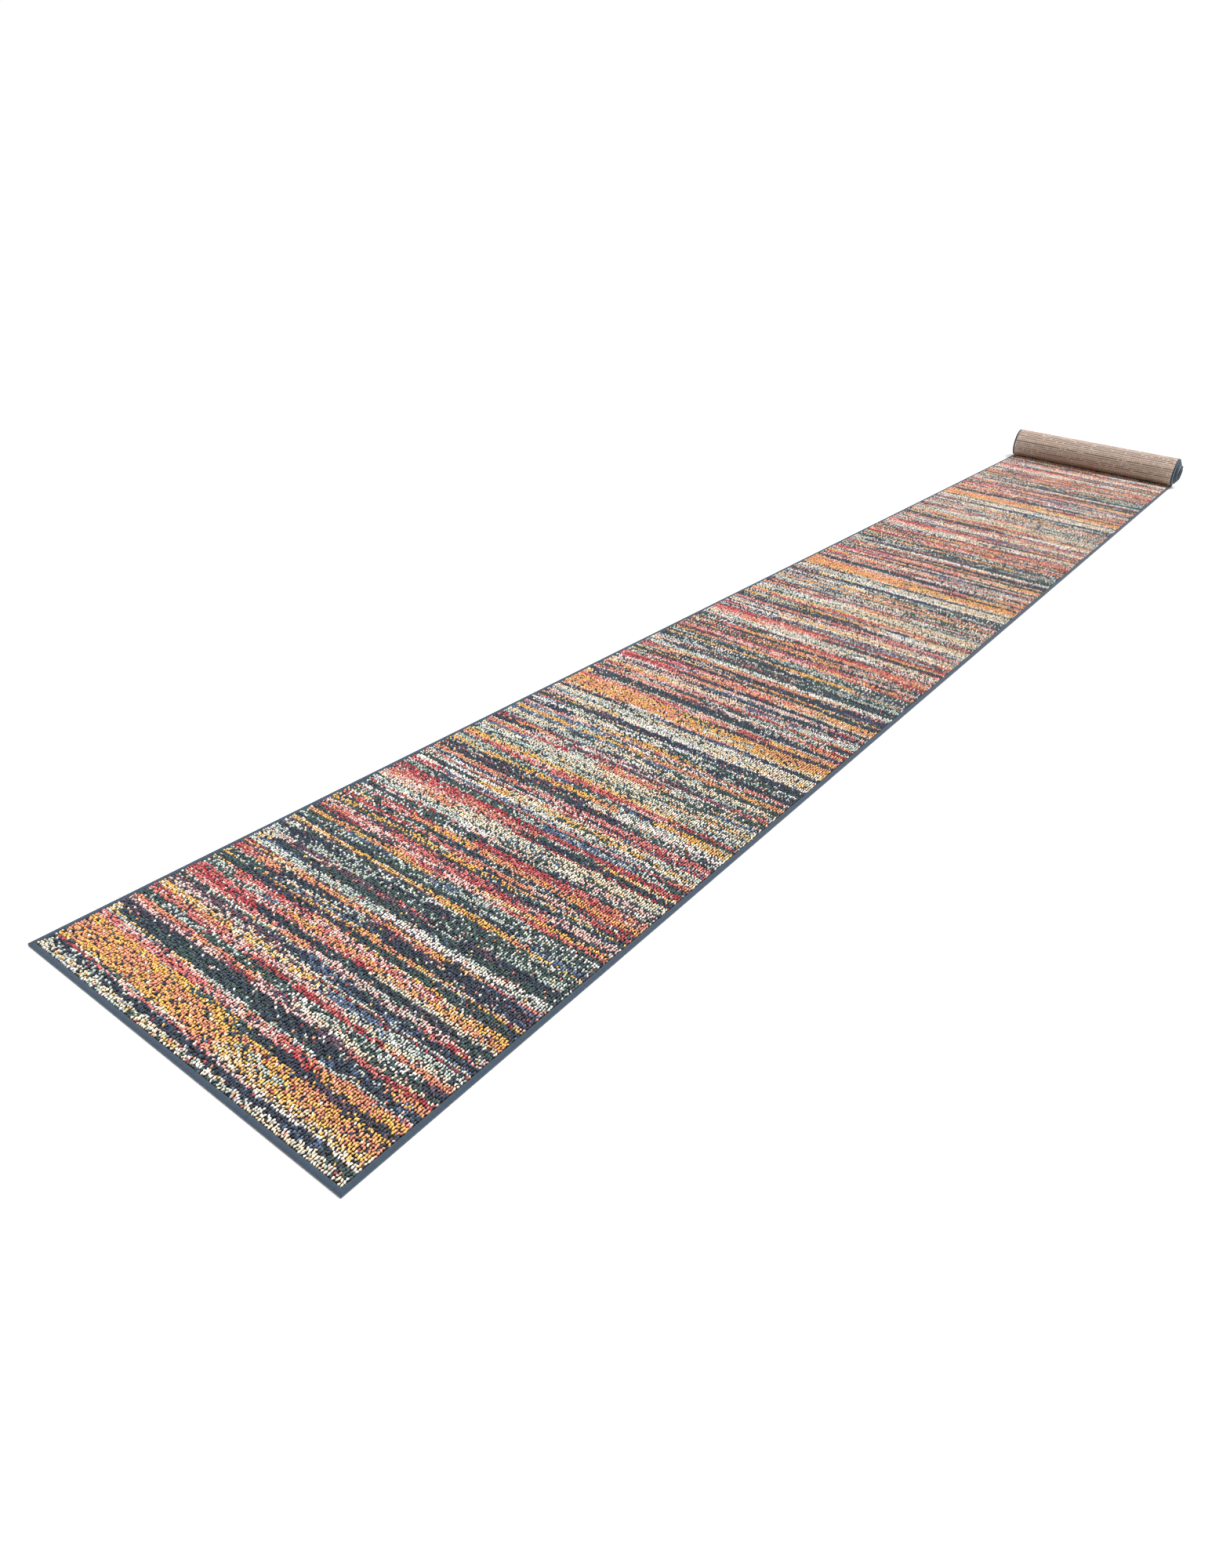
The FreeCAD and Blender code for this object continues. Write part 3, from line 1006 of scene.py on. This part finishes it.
def lay_the_length():
    """The part of the rug that lies on the floor."""
    cloth = make_cloth(
        "laid_cloth",
        places_between(edge_lap, laid_run, laid_step_along),
        places_between(-half_width + edge_lap, half_width - edge_lap, laid_step_across),
        0.0,
    )
    start = pile_low.x - front_x
    lanes = np.array_split(column_places, pile_lanes)
    for number, lane in enumerate(lanes, 1):
        piece = make_pile(f"laid_pile_{number}", start, laid_run, lane, number)
        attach(piece, "laid_length")
        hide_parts("laid_pile")
    for name, side in (("laid_binding_left", 1), ("laid_binding_right", -1)):
        piece = make_side_binding(name + "_thread", 0.0, laid_run, side, mitred=True)
        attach(piece, "laid_length")
        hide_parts(name)
    front = make_end_binding("front_end_binding_thread", 0.0, 1)
    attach(front, "laid_length")
    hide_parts("front_end_binding")
    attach(cloth, "laid_length")
    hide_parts("laid_backing")


def join_pieces(name, parts):
    """Several meshes as one object."""
    points = []
    faces = []
    colours = []
    for part in parts:
        count = len(points)
        co = np.empty(len(part.data.vertices) * 3, np.float32)
        part.data.vertices.foreach_get("co", co)
        points.extend(co.reshape(-1, 3).tolist())
        faces.extend([tuple(count + v for v in p.vertices) for p in part.data.polygons])
        tint = np.empty(len(part.data.vertices) * 4, np.float32)
        part.data.attributes["yarn"].data.foreach_get("color", tint)
        colours.append(tint.reshape(-1, 4))
        bpy.data.objects.remove(part)
    piece = new_piece(name, points, faces, edge_thread)
    put_attribute(piece.data, "yarn", "FLOAT_COLOR", np.concatenate(colours))
    return piece


def roll_the_outer_turn():
    """The turn that unrolls, in stretches, one for each hinge."""
    for number in range(1, len(hinges) + 1):
        start = along_at_angle((number - 1) * sector)
        end = along_at_angle(number * sector)
        label = f"{number:02d}"
        cloth = make_cloth(
            f"turn_cloth_{label}",
            places_between(start, end, yarn_pitch / 2),
            places_between(-half_width + edge_lap, half_width - edge_lap, yarn_pitch),
            outer_knuckle,
        )
        pile = make_pile(f"turn_pile_{label}", start, end, column_places, 20 + number)
        edges = [make_side_binding(f"turn_edge_{label}_{side}", start, end, side) for side in (1, -1)]
        bindings = join_pieces(f"turn_bindings_{label}", edges)
        nodes = (
            f"turn_strip_{label}_backing",
            f"turn_strip_{label}_pile",
            f"turn_strip_{label}_bindings",
        )
        ends = [on_cloth(place, 0.0, pile_top)[0].tolist() for place in (start, end - 1e-9)]
        finishes = ("woven_back", "pile", "edge_thread")
        for piece, node, finish in zip((cloth, pile, bindings), nodes, finishes):
            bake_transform(piece)
            if node in frame["nodes"]:
                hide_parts(node)


def roll_the_core():
    """The turns inside, which stay rolled."""
    start = turn_starts[2]
    end = turn_starts[half_turns] + tail_tuck
    cloth = make_cloth(
        "inner_cloth",
        places_between(start, end, yarn_pitch),
        places_between(-half_width + edge_lap, half_width - edge_lap, yarn_pitch * 2),
        inner_knuckle,
    )
    last = turn_starts[half_turns]
    groups = (
        ("inner_pile_left", column_places[-end_columns:]),
        ("inner_pile_right", column_places[:end_columns]),
    )
    for number, (name, lane) in enumerate(groups, 41):
        piece = make_pile(name, start, last, lane, number)
        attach(piece, "inner_roll")
        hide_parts("inner_roll_pile")
    for name, side in (("inner_roll_binding_left", 1), ("inner_roll_binding_right", -1)):
        piece = make_side_binding(name + "_thread", start, last + edge_width, side)
        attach(piece, "inner_roll")
        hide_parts(name)
    tail = make_end_binding("inner_roll_end_binding_thread", last + edge_width, -1)
    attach(tail, "inner_roll")
    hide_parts("inner_roll_end_binding")
    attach(cloth, "inner_roll")
    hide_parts("inner_roll_backing")


# ---------------------------------------------------------------------------
# Floor, light and camera
# ---------------------------------------------------------------------------


floor_reach = 60
wall_radius = 58
wall_foot = -1.0
wall_top = 60.0
wall_sides = 48


def set_the_stage():
    """A pale floor and soft, even light."""
    corners = [(-1, -1), (1, -1), (1, 1), (-1, 1)]
    floor = new_piece("floor", [(floor_reach * x, floor_reach * y, 0) for x, y in corners], [(0, 1, 2, 3)])
    paint = bpy.data.materials.new("pale_floor")
    paint.use_nodes = True
    surface = paint.node_tree.nodes["Principled BSDF"]
    surface.inputs["Base Color"].default_value = (0.92, 0.92, 0.92, 1)
    surface.inputs["Roughness"].default_value = 0.9
    surface.inputs["Specular IOR Level"].default_value = 0.1
    floor.data.materials.append(paint)
    world = bpy.data.worlds.new("soft_room")
    world.use_nodes = True
    sky = world.node_tree.nodes["Background"]
    sky.inputs["Color"].default_value = (1, 1, 1, 1)
    sky.inputs["Strength"].default_value = 0.6
    bpy.context.scene.world = world
    lamp = bpy.data.lights.new("overhead_softbox", "SUN")
    lamp.angle = math.radians(35)
    lamp.energy = 3.1
    overhead = bpy.data.objects.new("overhead_softbox", lamp)
    overhead.rotation_euler = (math.radians(14), math.radians(10), 0)
    bpy.context.scene.collection.objects.link(overhead)
    backdrop = make_backdrop()


def make_backdrop():
    """A white paper wall all round, far away, that throws no light on the rug."""
    points = []
    for height in (wall_foot, wall_top):
        for side in range(wall_sides):
            angle = math.tau * side / wall_sides
            points.append((wall_radius * math.cos(angle), wall_radius * math.sin(angle), height))
    faces = []
    for side in range(wall_sides):
        after = (side + 1) % wall_sides
        faces.append((after, side, side + wall_sides, after + wall_sides))
    wall = new_piece("backdrop", points, faces)
    paper = bpy.data.materials.new("white_paper")
    paper.use_nodes = True
    surface = paper.node_tree.nodes["Principled BSDF"]
    surface.inputs["Base Color"].default_value = (0, 0, 0, 1)
    surface.inputs["Specular IOR Level"].default_value = 0.0
    surface.inputs["Emission Color"].default_value = (1, 1, 1, 1)
    surface.inputs["Emission Strength"].default_value = 1.0
    wall.data.materials.append(paper)
    wall.visible_diffuse = False
    wall.visible_glossy = False
    wall.visible_shadow = False
    return wall


def place_camera():
    """Eye height at the near corner, looking along the runner."""
    lens = bpy.data.cameras.new("eye")
    lens.sensor_width = 36
    lens.lens = 23.65
    lens.clip_end = 200
    camera = bpy.data.objects.new("eye", lens)
    camera.location = (-3.268, -1.165, 1.2215)
    camera.rotation_euler = [math.radians(turn) for turn in (58.83, -3.67, -53.44)]
    bpy.context.scene.collection.objects.link(camera)
    bpy.context.scene.camera = camera


set_the_stage()
lay_the_length()
roll_the_outer_turn()
roll_the_core()
place_camera()
bpy.context.scene.view_settings.view_transform = "Standard"
